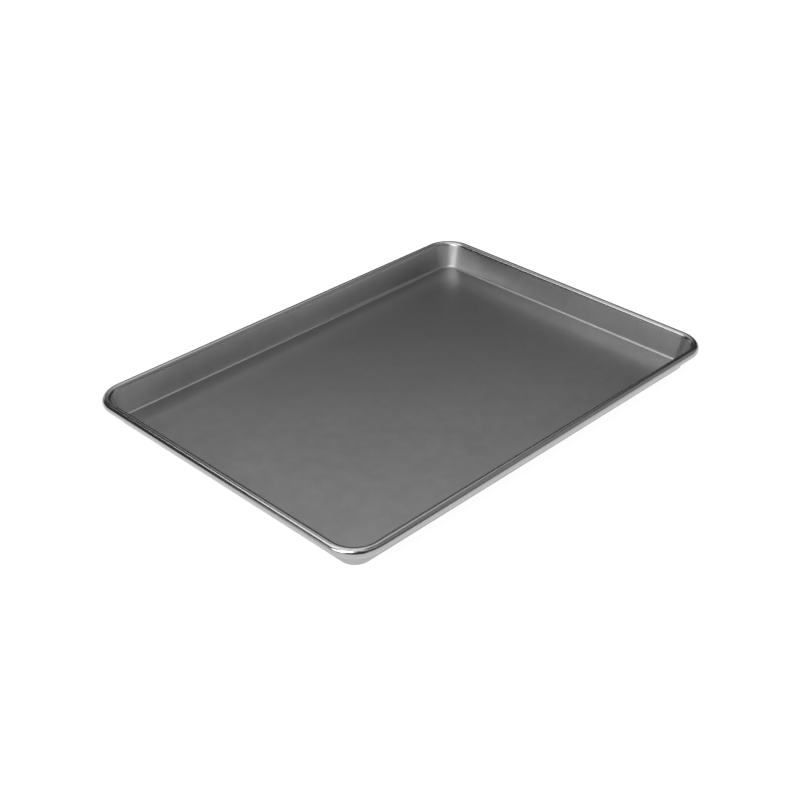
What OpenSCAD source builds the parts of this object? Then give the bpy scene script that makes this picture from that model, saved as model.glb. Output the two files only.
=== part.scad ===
// Jelly roll pan: a shallow sheet steel pan with a rim curled over a wire.
// Sizes are in millimetres and angles in degrees.
// The origin is on the table under the middle of the pan: X runs along it, Y across it and Z up.

/* [Pan] */
// Length over the rim
pan_l = 457; // [300:1:660]
// Width over the rim
pan_w = 333; // [220:1:460]
// Height from the table to the top of the rim
pan_h = 25.4; // [18:0.1:45]
// Radius of the rim's corners, outside
corner_r = 29; // [26:0.5:60]

/* [Sheet] */
// Thickness of the steel sheet
sheet_t = 0.8; // [0.5:0.05:1.2]
// Lean of the sides from upright
side_lean = 19; // [5:0.5:28]
// Radius of the bend between the floor and the sides, inside
bend_r = 3.2; // [1.5:0.1:6]

/* [Rim] */
// Thickness of the wire inside the rim
wire_d = 6.4; // [4.8:0.1:8]
// Room all round between the wire and the sheet curled over it
wire_gap = 0.25; // [0.1:0.05:0.4]
// Slot between the edge of the curled sheet and the side behind it
curl_slot = 0.6; // [0.3:0.1:1.5]
// Distance between the two ends of the wire, where they meet
wire_split = 1.5; // [0.5:0.1:5]

/* [Hidden] */
$fn = 96;

// Turn between two points of a bend or curl in the sheet's section
arc_step = 7.5;
// The curl, outside: the wire with its room and the sheet round it
curl_r = wire_d / 2 + wire_gap + sheet_t;
// Middle of the curl: its distance from the middle of a corner, and its height
curl_mid = [corner_r - curl_r, pan_h - curl_r];
// Middles of the corners stand this far apart
core_l = pan_l - 2 * corner_r;
core_w = pan_w - 2 * corner_r;
// A side is a straight run that just touches two circles: the bend's inside and the curl's outside
bend_z = sheet_t + bend_r;
side_run = (curl_mid.y - bend_z + (bend_r + curl_r) * sin(side_lean)) / cos(side_lean);
bend_mid = [curl_mid.x - side_run * sin(side_lean) - (bend_r + curl_r) * cos(side_lean), bend_z];
// The curl goes over the top from the side and stops short of it again, by the slot
slot_angle = acos((curl_r - sheet_t - curl_slot) / curl_r);
curl_start = 180 - side_lean;
curl_end = slot_angle - 180 - side_lean;

// Points of an arc from one angle to another, both ends included
function arc(mid, r, from, to) =
    let (steps = ceil(abs(to - from) / arc_step))
    [for (i = [0 : steps]) let (a = from + (to - from) * i / steps) mid + r * [cos(a), sin(a)]];

// One face of the sheet, from the middle of a corner over the floor and up the side to the edge of
// the curl. The inner face has a depth of 0 and the outer face lies one sheet thickness behind it.
function sheet_face(depth) = concat(
    [[0, sheet_t - depth]],
    arc(bend_mid, bend_r + depth, -90, -side_lean),
    arc(curl_mid, curl_r - depth, curl_start, curl_end)
);

function backwards(points) = [for (i = [len(points) - 1 : -1 : 0]) points[i]];

// Section of the sheet, from the middle of a corner out to the rim
module sheet_section() {
    polygon(concat(sheet_face(0), backwards(sheet_face(sheet_t))));
}

// Carries a section once round the pan: each pass makes one end, one long side and two corners
module round_the_pan() {
    for (turn = [0, 180]) rotate(turn) {
        translate([core_l / 2, core_w / 2, 0]) rotate([90, 0, 0]) linear_extrude(core_w) children();
        translate([-core_l / 2, core_w / 2, 0]) rotate([90, 0, 90]) linear_extrude(core_l) children();
        translate([core_l / 2, core_w / 2, 0]) rotate_extrude(angle = 90) children();
        translate([core_l / 2, -core_w / 2, 0]) rotate(-90) rotate_extrude(angle = 90) children();
    }
}

// The pan itself, drawn and curled from one sheet: floor, sides, corners and curl
module pan_shell() {
    color("#77797a") {
        round_the_pan() sheet_section();
        translate([-core_l / 2, -core_w / 2, 0]) cube([core_l, core_w, sheet_t]);
    }
}

// The wire hoop that the curl holds, with its two ends facing each other in one long side
module rim_wire() {
    cutter = 2 * wire_d;
    color("#a3a5a6") difference() {
        round_the_pan() translate(curl_mid) circle(d = wire_d);
        translate([0, -core_w / 2 - curl_mid.x, curl_mid.y]) cube([wire_split, cutter, cutter], center = true);
    }
}

pan_shell();
rim_wire();
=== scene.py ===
"""Jelly roll pan in satin steel sheet, on a pale studio floor.

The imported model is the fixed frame. One numpy surface, the pan's sheet with its curled rim, stands
for the CAD node pan_shell, and the CAD node rim_wire stays and gets the steel of drawn wire.
Lengths are in millimetres while a shape is worked out, and its mesh is written in metres.
"""
import math

import bpy
import numpy as np
from mathutils import Matrix, Vector


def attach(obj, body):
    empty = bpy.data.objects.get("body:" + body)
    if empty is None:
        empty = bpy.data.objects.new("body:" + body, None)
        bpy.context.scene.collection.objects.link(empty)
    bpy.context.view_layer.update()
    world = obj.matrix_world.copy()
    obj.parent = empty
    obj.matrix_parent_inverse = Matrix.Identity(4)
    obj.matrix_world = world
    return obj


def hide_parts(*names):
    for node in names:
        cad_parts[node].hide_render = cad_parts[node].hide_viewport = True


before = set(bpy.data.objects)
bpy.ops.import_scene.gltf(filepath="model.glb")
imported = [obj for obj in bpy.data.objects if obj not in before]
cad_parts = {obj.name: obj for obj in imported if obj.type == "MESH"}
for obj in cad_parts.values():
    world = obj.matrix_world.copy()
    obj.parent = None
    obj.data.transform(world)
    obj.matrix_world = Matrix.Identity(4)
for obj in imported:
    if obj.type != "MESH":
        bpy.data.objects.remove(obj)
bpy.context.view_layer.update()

MM = 0.001

# Sizes of the pan, the same as in the part's source, in millimetres and degrees
PAN_L, PAN_W, PAN_H = 457.0, 333.0, 25.4
CORNER_R = 29.0
SHEET_T = 0.8
SIDE_LEAN = 19.0
BEND_R = 3.2
WIRE_D, WIRE_GAP, CURL_SLOT = 6.4, 0.25, 0.6

# Steps of the mesh round a corner, along an end and a long side, and in the section's parts
CORNER_STEPS = 28
END_STEPS, LONG_STEPS = 40, 56
BEND_STEPS, SIDE_STEPS, CURL_STEPS = 12, 10, 72
# Rings that fill the flat floor, as shares of its edge's size
FLOOR_RINGS = (0.985, 0.95, 0.88, 0.76, 0.6, 0.42, 0.24, 0.1)

# Where the side's and the curl's finish starts and where it is full, in millimetres up the sheet
SIDE_FINISH, CURL_FINISH = (1.0, 5.0), (23.0, 26.5)
# The marks of drawing, with the painted sheen that lightens them, are full where the turn away
# from an end has this sine, and they die out along a long side over this length
DRAWN_AND_SHEEN_SINE, DRAWN_AND_SHEEN_FADE = 0.5, 35.0
# Patterns, each with its steps per metre and its detail: clouds of handling 70 mm across, smudges
# 12 mm across and mill mottle 1.5 mm across
CLOUDS, SMUDGES, MOTTLE = (14.0, 3.0), (80.0, 2.0), (650.0, 2.0)
# Rolling grain, in steps per metre along the pan, across it and up
GRAIN = (16.0, 1000.0, 100.0)
# The rolling tool's lines, in steps per metre along the rim and per millimetre up the sheet
TOOL_ALONG, TOOL_UP = 3.0, 0.3
# Flutes of drawing, in steps per millimetre along the rim and up the sheet
FLUTE_ALONG, FLUTE_UP = 0.09, 0.03
# Weight of the mottle and the grain beside the clouds and smudges, and the sum of all four where
# the sheet is darkest and lightest
FINE_WEIGHT, PATCHES = 0.2, (0.85, 1.55)
# Roughness: the sheet from dark to light, what drawing adds, and the curl between the tool's lines
# and on them, where the pattern of the lines has its first and its second level
SHEET_ROUGH, DRAWN_ROUGH, CURL_ROUGH = (0.33, 0.29), 0.2, (0.22, 0.17)
TOOL_LINES = (0.3, 0.7)
# Depth of the relief in metres: waves of handling, flutes of drawing and the tool's lines
WAVE_DEPTH, FLUTE_DEPTH, TOOL_DEPTH = 0.0003, 0.0008, 0.00001
# The wire's spots in steps per metre, their roughness, and the strength and depth of their relief
WIRE_SPOTS, WIRE_ROUGH = 1200.0, (0.26, 0.4)
WIRE_RELIEF, WIRE_DEPTH = 0.2, 0.00002
# The colour sockets of a mix node, whose names its other sockets have too
MIX_FROM, MIX_TO = 6, 7

# The camera that the photograph's rim and floor edges give
CAMERA_PLACE = (-0.76512, -0.74754, 0.64983)
CAMERA_YAW, CAMERA_PITCH, CAMERA_ROLL = 45.202, 31.639, 0.223
FOCAL_PX, FRAME_PX, SENSOR_MM = 1383.71, 800.0, 36.0
# Heading from the pan to the camera, in degrees
CAMERA_SIDE = 225

# The studio: half the width of the floor's flat part and of the whole floor, and the rise of its
# border, in metres, how white the floor is to the camera, and the level of the room's own light
FLOOR_FLAT, FLOOR_EDGE, FLOOR_RISE = 16.0, 20.0, 1.0
FLOOR_WHITE, ROOM_LEVEL = 0.93, 0.04
# Soft lamps: name, degrees left of the camera, elevation, distance, width, height, brightness
SOFTBOXES = (
    ("key", 26, 45, 1.5, 0.80, 0.58, 5.0),
    ("key_low", 42, 26, 1.6, 0.85, 0.50, 5.8),
    ("left_low", 72, 14, 1.7, 0.45, 0.45, 0.85),
    ("left_bank", 92, 57, 1.6, 0.90, 0.85, 2.0),
    ("front_high", 0, 68, 1.6, 1.00, 0.50, 1.0),
    ("top", 90, 86, 1.7, 1.00, 0.80, 1.3),
    ("rear", 178, 64, 1.7, 1.20, 0.95, 1.0),
    ("rear_low", 178, 40, 1.7, 1.20, 0.48, 0.5),
    ("rear_left", 145, 14, 1.7, 1.00, 0.60, 0.6),
    ("right_low", 260, 10, 1.7, 1.40, 0.60, 0.5),
    ("right_high", 260, 44, 1.7, 1.40, 1.20, 0.33),
    ("front_right", 310, 10, 1.7, 1.20, 0.50, 0.85),
    ("right_front", 315, 55, 1.7, 1.00, 0.70, 0.5),
)


def arc(mid, radius, start, end, steps):
    """Points of an arc in the section's plane: middle plus radius times (cosine, sine) of the
    angle, with the angle going evenly from start to end, in degrees."""
    angle = np.radians(np.linspace(start, end, steps + 1))
    return np.stack([mid[0] + radius * np.cos(angle), mid[1] + radius * np.sin(angle)], axis=1)


def line(start, end, steps):
    """Points spaced evenly between two points, without the two ends."""
    share = np.linspace(0.0, 1.0, steps + 1)[1:-1, None]
    return start * (1.0 - share) + end * share


def run_length(points):
    """How far each point is from the first, measured along the line through the points."""
    return np.concatenate([[0.0], np.cumsum(np.linalg.norm(np.diff(points, axis=0), axis=1))])


def sheet_faces():
    """Section of the sheet outside the flat floor: its inner and its outer face, each in columns
    (out, up).

    Out is measured from the middle of a corner. A face runs from the start of the bend up the
    side, over the curl and round to the curl's edge: a straight line between two arcs that it
    just touches. The outer face lies one sheet thickness behind the inner one.
    """
    lean = math.radians(SIDE_LEAN)
    curl_r = WIRE_D / 2 + WIRE_GAP + SHEET_T
    curl_mid = np.array([CORNER_R - curl_r, PAN_H - curl_r])
    bend_z = SHEET_T + BEND_R
    both_r = BEND_R + curl_r
    run = (curl_mid[1] - bend_z + both_r * math.sin(lean)) / math.cos(lean)
    bend_out = curl_mid[0] - run * math.sin(lean) - both_r * math.cos(lean)
    bend_mid = np.array([bend_out, bend_z])
    slot = math.degrees(math.acos((curl_r - SHEET_T - CURL_SLOT) / curl_r))
    curl_from, curl_to = 180 - SIDE_LEAN, slot - 180 - SIDE_LEAN
    faces = []
    for depth in (0.0, SHEET_T):
        bend = arc(bend_mid, BEND_R + depth, -90, -SIDE_LEAN, BEND_STEPS)
        curl = arc(curl_mid, curl_r - depth, curl_from, curl_to, CURL_STEPS)
        faces.append(np.concatenate([bend, line(bend[-1], curl[0], SIDE_STEPS), curl]))
    return faces


def rim_path():
    """Path of a corner's middle round the pan: columns (x, y, outward x, outward y, corner).

    The middle stands still while the outward direction turns through a corner, and slides along a
    side while the direction stays. Corner is sin(turn from the end) / DRAWN_AND_SHEEN_SINE, up to 1, in a
    corner. So it is 0 at an end and 1 at a long side, along which it falls as the square of what is
    left of DRAWN_AND_SHEEN_FADE. The path starts in the middle of an end, where no pattern shows its seam.
    """
    half = np.array([PAN_L / 2 - CORNER_R, PAN_W / 2 - CORNER_R])
    middles = np.array([(1, 1), (-1, 1), (-1, -1), (1, -1)]) * half
    rows = []
    for k, (middle, after) in enumerate(zip(middles, np.roll(middles, -1, axis=0))):
        turn = np.radians(np.linspace(90 * k, 90 * k + 90, CORNER_STEPS + 1))
        out = np.column_stack([np.cos(turn), np.sin(turn)])
        # This corner value also masks the painted sheen that lightens the drawn skin
        corner = np.clip(np.abs(out[:, 1]) / DRAWN_AND_SHEEN_SINE, 0, 1)
        rows.append(np.column_stack([np.tile(middle, (len(turn), 1)), out, corner]))
        slide = line(middle, after, LONG_STEPS if k % 2 == 0 else END_STEPS)
        gone = np.minimum(*(np.linalg.norm(slide - end, axis=1) for end in (middle, after)))
        fade = corner[-1] * np.clip(1 - gone / DRAWN_AND_SHEEN_FADE, 0, 1) ** 2
        rows.append(np.column_stack([slide, np.tile(out[-1], (len(slide), 1)), fade]))
    return np.roll(np.concatenate(rows), END_STEPS // 2, axis=0)


def fill_floor(ring, start, z):
    """Fills the flat floor inside a ring of points: the ring is drawn in towards the pan's middle
    by each share in turn, and the last ring closes on one point there. Gives points, numbered from
    start, and faces."""
    n = len(ring)
    at, after = np.arange(n), np.roll(np.arange(n), -1)
    rings = [np.column_stack([ring * share, np.full(n, z)]) for share in FLOOR_RINGS]
    points = np.concatenate(rings + [np.array([[0.0, 0.0, z]])])
    first = start + n * np.arange(len(rings))[:, None]
    wide, narrow, last = first[:-1], first[1:], first[-1]
    quads = np.stack([wide + at, wide + after, narrow + after, narrow + at], axis=2)
    tris = np.stack([last + at, last + after, np.full(n, start + n * len(rings))], axis=1)
    return points, quads.reshape(-1, 4), tris


def add_mesh(name, points, faces):
    """Makes a mesh object from points in metres and faces as lists of point numbers."""
    mesh = bpy.data.meshes.new(name)
    mesh.from_pydata(points.tolist(), [], faces)
    piece = bpy.data.objects.new(name, mesh)
    bpy.context.scene.collection.objects.link(piece)
    return piece


def pan_sheet():
    """The whole pan as one closed surface.

    The section is carried round the path: a place is the corner's middle plus out times the
    outward direction, with up as its height. Two flat floors close it, the inner and the under
    one. Each point keeps rim_place: how far along the rim it is, how far up the sheet from the
    floor's edge, the same on both faces, and its corner value.
    """
    inner, outer = sheet_faces()
    section = np.concatenate([inner, outer[::-1]])
    path = rim_path()
    n, m = len(path), len(section)
    flat = path[:, None, :2] + section[None, :, 0, None] * path[:, None, 2:4]
    height = np.broadcast_to(section[None, :, 1, None], (n, m, 1))
    points = np.concatenate([flat, height], axis=2).reshape(-1, 3)

    along = run_length(path[:, :2] + CORNER_R * path[:, 2:4])
    up = run_length(inner)
    up = np.concatenate([up, up[::-1]])
    place = np.stack(np.broadcast_arrays(along[:, None], up, path[:, 4, None]), axis=2)

    at, after = np.arange(n), np.roll(np.arange(n), -1)
    row, next_row, j = at[:, None] * m, after[:, None] * m, np.arange(m - 1)
    walls = np.stack([row + j, row + j + 1, next_row + j + 1, next_row + j], axis=2)
    quads, tris = [walls.reshape(-1, 4)], []
    for edge, z, under in ((at * m, SHEET_T, False), (at * m + m - 1, 0.0, True)):
        start = len(points)
        more, fill, middle = fill_floor(points[edge, :2], start, z)
        join = np.stack([edge, edge[after], start + after, start + at], axis=1)
        points = np.concatenate([points, more])
        for group, kept in ((join, quads), (fill, quads), (middle, tris)):
            kept.append(group[:, ::-1] if under else group)
    place = np.concatenate([place.reshape(-1, 3), np.zeros((len(points) - n * m, 3))])

    faces = np.concatenate(quads).tolist() + np.concatenate(tris).tolist()
    piece = add_mesh("pan_sheet", points * MM, faces)
    rim_place = piece.data.attributes.new("rim_place", "FLOAT_VECTOR", "POINT")
    rim_place.data.foreach_set("vector", place.ravel())
    piece.data.shade_smooth()
    return piece


def linear(code):
    """Turns an sRGB hex colour to linear values: c/12.92 up to 0.04045, else
    ((c+0.055)/1.055)^2.4."""
    parts = [int(code[k:k + 2], 16) / 255 for k in (1, 3, 5)]
    values = [c / 12.92 if c <= 0.04045 else ((c + 0.055) / 1.055) ** 2.4 for c in parts]
    return (*values, 1.0)


def add_node(tree, kind, links=(), **settings):
    """Adds one node. Settings set its properties. Links give each socket a value, an output, or a
    node, whose first output in use is taken."""
    made = tree.nodes.new(kind)
    for key, value in settings.items():
        setattr(made, key, value)
    for socket, value in dict(links).items():
        if isinstance(value, bpy.types.Node):
            value = next(output for output in value.outputs if output.enabled)
        if isinstance(value, bpy.types.NodeSocket):
            tree.links.new(value, made.inputs[socket])
        else:
            made.inputs[socket].default_value = value
    return made


def new_material(name):
    """An empty node material and its tree."""
    material = bpy.data.materials.new(name)
    material.use_nodes = True
    material.node_tree.nodes.clear()
    return material, material.node_tree


def satin_rolled_steel():
    """Cold rolled carbon steel sheet, uncoated, with the mill's satin finish: a dark neutral grey
    metal with a soft gloss, a faint rolling grain along the pan, and clouds where it was handled.
    Drawing leaves upright flutes and a duller, rougher skin in the corners, and that skin is painted
    lighter, a painted sheen that lifts the corners' highlight. The rolling tool has burnished
    the curl of the rim brighter and smoother, and left fine lines that run along it."""
    material, tree = new_material("Cold rolled steel sheet, satin mill finish")
    place = add_node(tree, "ShaderNodeTexCoord").outputs["Object"]
    rim_place = add_node(tree, "ShaderNodeAttribute", attribute_name="rim_place")
    x, y, _ = add_node(tree, "ShaderNodeSeparateXYZ", {0: place}).outputs
    along, up, corner = add_node(
        tree, "ShaderNodeSeparateXYZ", {0: rim_place.outputs["Vector"]}).outputs

    # Where each finish lies: the curl, the side below it, and the drawn part of the side, which also
    # gets a painted sheen
    curl, bent = (
        add_node(tree, "ShaderNodeMapRange", {"Value": up, "From Min": start, "From Max": full},
                 interpolation_type="SMOOTHSTEP")
        for start, full in (CURL_FINISH, SIDE_FINISH))
    side = add_node(tree, "ShaderNodeMath", {0: bent, 1: curl}, operation="SUBTRACT")
    drawn_and_sheen = add_node(tree, "ShaderNodeMath", {0: side, 1: corner}, operation="MULTIPLY")

    clouds, smudges, mottle = (
        add_node(tree, "ShaderNodeTexNoise", {"Vector": place, "Scale": scale, "Detail": detail})
        for scale, detail in (CLOUDS, SMUDGES, MOTTLE))
    # Rolling grain: lines 1 mm apart and 60 mm long, along the pan
    grain_place = add_node(tree, "ShaderNodeMapping", {"Vector": place, "Scale": GRAIN})
    # Lines of the rolling tool: 3 mm apart and 300 mm long, along the rim
    far_x, far_y, fine = (
        add_node(tree, "ShaderNodeMath", {0: value, 1: rate}, operation="MULTIPLY")
        for value, rate in ((x, TOOL_ALONG), (y, TOOL_ALONG), (up, TOOL_UP)))
    tool_place = add_node(tree, "ShaderNodeCombineXYZ", {0: far_x, 1: far_y, 2: fine})
    # Flutes of drawing: 11 mm apart round a corner, straight up the side
    round_it, up_it = (
        add_node(tree, "ShaderNodeMath", {0: value, 1: rate}, operation="MULTIPLY")
        for value, rate in ((along, FLUTE_ALONG), (up, FLUTE_UP)))
    flute_place = add_node(tree, "ShaderNodeCombineXYZ", {0: round_it, 1: up_it})
    grain, tool, flutes = (
        add_node(tree, "ShaderNodeTexNoise", {"Vector": where, "Scale": 1.0, "Detail": detail})
        for where, detail in ((grain_place, 2.0), (tool_place, 0.0), (flute_place, 1.5)))

    patches = add_node(tree, "ShaderNodeMath", {0: clouds, 1: smudges}, operation="ADD")
    for pattern in (mottle, grain):
        patches = add_node(tree, "ShaderNodeMath", {0: pattern, 1: FINE_WEIGHT, 2: patches},
                           operation="MULTIPLY_ADD")
    dark, light = PATCHES
    shade = add_node(tree, "ShaderNodeMapRange",
                     {"Value": patches, "From Min": dark, "From Max": light})
    # Colours: the sheet from dark to light, then the drawn skin painted lighter as a sheen on the
    # corners' highlight, then the bright curl
    colour = linear("#999a99")
    # The drawn skin's lighter colour is a painted sheen; its roughness and flutes are the real marks
    # of drawing
    for part, code in ((shade, "#a5a5a5"), (drawn_and_sheen, "#b4b4b4"), (curl, "#acacac")):
        colour = add_node(tree, "ShaderNodeMix", {0: part, MIX_FROM: colour, MIX_TO: linear(code)},
                          data_type="RGBA")

    sheet_rough, curl_rough = (
        add_node(tree, "ShaderNodeMapRange", {"Value": pattern, "From Min": low, "From Max": high,
                                              "To Min": rough[0], "To Max": rough[1]})
        for pattern, (low, high), rough in (
            (patches, PATCHES, SHEET_ROUGH), (tool, TOOL_LINES, CURL_ROUGH)))
    rough = add_node(tree, "ShaderNodeMix", {"Factor": curl, "A": sheet_rough, "B": curl_rough})
    rough = add_node(tree, "ShaderNodeMath", {0: drawn_and_sheen, 1: DRAWN_ROUGH, 2: rough},
                     operation="MULTIPLY_ADD")

    # Relief, from the widest to the finest: each bump passes on the normal of the one before
    waves = add_node(tree, "ShaderNodeBump",
                     {"Height": clouds, "Strength": 1.0, "Distance": WAVE_DEPTH})
    fluted = add_node(tree, "ShaderNodeBump", {"Height": flutes, "Strength": drawn_and_sheen,
                                               "Distance": FLUTE_DEPTH, "Normal": waves})
    tooled = add_node(tree, "ShaderNodeBump", {"Height": tool, "Strength": curl,
                                               "Distance": TOOL_DEPTH, "Normal": fluted})
    shader = add_node(tree, "ShaderNodeBsdfPrincipled", {
        "Base Color": colour, "Metallic": 1.0, "Roughness": rough, "Normal": tooled})
    add_node(tree, "ShaderNodeOutputMaterial", {"Surface": shader})
    return material


def drawn_wire_steel():
    """Drawn steel wire, left dull: about as light as the sheet, with rougher and smoother spots
    0.8 mm across."""
    material, tree = new_material("Drawn steel wire")
    place = add_node(tree, "ShaderNodeTexCoord").outputs["Object"]
    spots = add_node(tree, "ShaderNodeTexNoise",
                     {"Vector": place, "Scale": WIRE_SPOTS, "Detail": 2.0})
    smooth, dull = WIRE_ROUGH
    rough = add_node(tree, "ShaderNodeMapRange", {"Value": spots, "To Min": smooth, "To Max": dull})
    bump = add_node(tree, "ShaderNodeBump",
                    {"Height": spots, "Strength": WIRE_RELIEF, "Distance": WIRE_DEPTH})
    shader = add_node(tree, "ShaderNodeBsdfPrincipled", {
        "Base Color": linear("#a3a5a6"), "Metallic": 1.0, "Roughness": rough, "Normal": bump})
    add_node(tree, "ShaderNodeOutputMaterial", {"Surface": shader})
    return material


def studio_floor():
    """The plain pale floor, a wide square whose far border rises a little, as a backdrop. A
    camera, glossy or transmission ray sees it white, by a plain light added to its matt surface,
    so it keeps the pan's shadow."""
    square = np.array([[-1, -1, 0], [1, -1, 0], [1, 1, 0], [-1, 1, 0]])
    corners = np.concatenate([square * FLOOR_FLAT, square * FLOOR_EDGE + (0, 0, FLOOR_RISE)])
    border = [(k, k + 4, (k + 1) % 4 + 4, (k + 1) % 4) for k in range(4)]
    floor = add_mesh("studio_floor", corners, [(0, 1, 2, 3)] + border)

    material, tree = new_material("Studio floor, matt white board")
    board = add_node(tree, "ShaderNodeBsdfPrincipled",
                     {"Base Color": linear("#808080"), "Roughness": 0.9})
    rays = add_node(tree, "ShaderNodeLightPath").outputs
    seen = rays["Is Camera Ray"]
    for ray in ("Is Glossy Ray", "Is Transmission Ray"):
        seen = add_node(tree, "ShaderNodeMath", {0: seen, 1: rays[ray]}, operation="MAXIMUM")
    level = add_node(tree, "ShaderNodeMath", {0: seen, 1: FLOOR_WHITE}, operation="MULTIPLY")
    glow = add_node(tree, "ShaderNodeEmission", {"Color": (1, 1, 1, 1), "Strength": level})
    both = add_node(tree, "ShaderNodeAddShader", {0: board, 1: glow})
    add_node(tree, "ShaderNodeOutputMaterial", {"Surface": both})
    floor.data.materials.append(material)


def studio_world():
    """A plain grey room, the same in every direction."""
    world = bpy.data.worlds.new("studio_world")
    bpy.context.scene.world = world
    world.use_nodes = True
    tree = world.node_tree
    tree.nodes.clear()
    room = add_node(tree, "ShaderNodeBackground", {"Color": (1, 1, 1, 1), "Strength": ROOM_LEVEL})
    add_node(tree, "ShaderNodeOutputWorld", {"Surface": room})


def softbox(name, left, elevation, distance, width, height, brightness):
    """A soft lamp that faces the pan: left is its angle to the left of the camera's side, in
    degrees, and brightness is what a mirror would show of it, so its power is pi times that times
    its area."""
    heading, rise = math.radians(CAMERA_SIDE - left), math.radians(elevation)
    level = math.cos(rise)
    way = Vector((level * math.cos(heading), level * math.sin(heading), math.sin(rise)))
    data = bpy.data.lights.new(name, "AREA")
    data.shape = "RECTANGLE"
    data.size, data.size_y = width, height
    data.energy = math.pi * brightness * width * height
    lamp = bpy.data.objects.new(name, data)
    bpy.context.scene.collection.objects.link(lamp)
    lamp.location = way * distance
    lamp.rotation_euler = (-way).to_track_quat("-Z", "Y").to_euler()


def photo_camera():
    """The camera at the photograph's place: forward from yaw and pitch, then rolled about it."""
    yaw, pitch, roll = (math.radians(a) for a in (CAMERA_YAW, CAMERA_PITCH, CAMERA_ROLL))
    level = math.cos(pitch)
    forward = Vector((math.sin(yaw) * level, math.cos(yaw) * level, -math.sin(pitch)))
    right = Vector((math.cos(yaw), -math.sin(yaw), 0.0))
    down = forward.cross(right)
    across = right * math.cos(roll) + down * math.sin(roll)
    upright = right * math.sin(roll) - down * math.cos(roll)
    data = bpy.data.cameras.new("photo_camera")
    data.sensor_width = SENSOR_MM
    data.lens = FOCAL_PX / FRAME_PX * SENSOR_MM
    data.clip_start, data.clip_end = 0.01, 100.0
    camera = bpy.data.objects.new("photo_camera", data)
    bpy.context.scene.collection.objects.link(camera)
    turn = Matrix((across, upright, -forward)).transposed().to_4x4()
    camera.matrix_world = Matrix.Translation(Vector(CAMERA_PLACE)) @ turn
    bpy.context.scene.camera = camera


photo_camera()

pan = pan_sheet()
pan.data.materials.append(satin_rolled_steel())
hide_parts("pan_shell")
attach(pan, "root")

wire_steel = drawn_wire_steel()
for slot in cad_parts["rim_wire"].material_slots:
    slot.material = wire_steel

studio_floor()
studio_world()
for lamp in SOFTBOXES:
    softbox(*lamp)

bpy.context.scene.view_settings.view_transform = "Standard"
